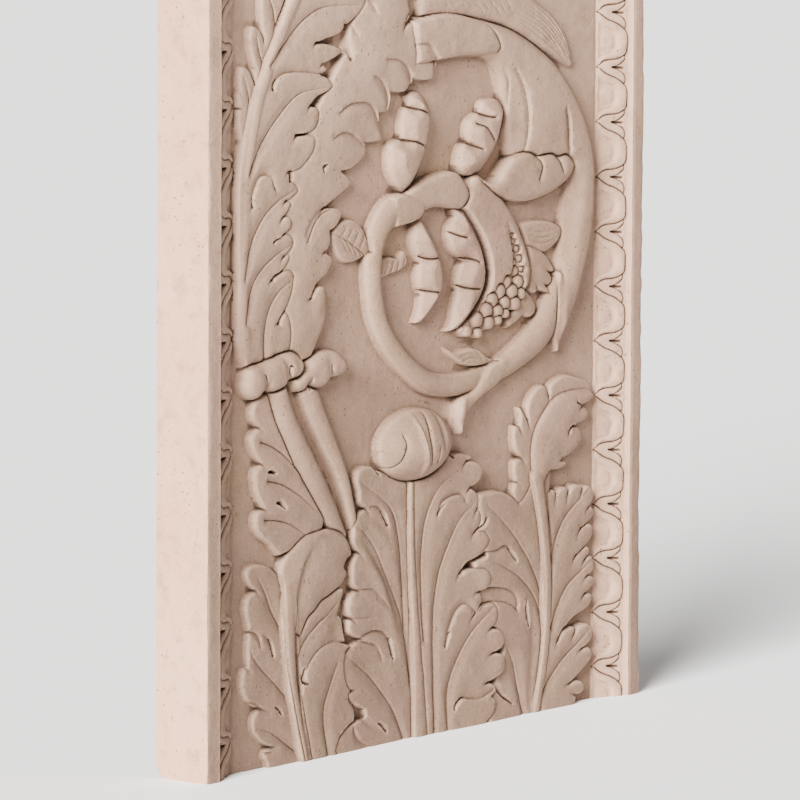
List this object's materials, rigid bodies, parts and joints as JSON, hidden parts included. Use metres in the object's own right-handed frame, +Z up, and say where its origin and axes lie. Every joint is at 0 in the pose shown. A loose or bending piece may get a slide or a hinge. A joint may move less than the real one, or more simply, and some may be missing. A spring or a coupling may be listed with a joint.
{
  "type": "stone relief panel",
  "caption": "Upright slab of pale stone carved in low relief with acanthus leaves and a leafy scroll between two leaf-and-dart mouldings.",
  "frame": {"origin": "centre of the bounding box on the underside, the plane that the panel stands on", "axes": "+Z up along the panel's length, +X to the right as one faces the carving, +Y from the carving to the flat back"},
  "size_m": [0.617, 0.0688, 0.7],
  "materials": {
    "stone": "weathered pinkish-beige stone, matt, with grey-brown dirt in the hollows"
  },
  "bodies": {
    "root": {"relief_panel": "stone"}
  },
  "joints": []
}
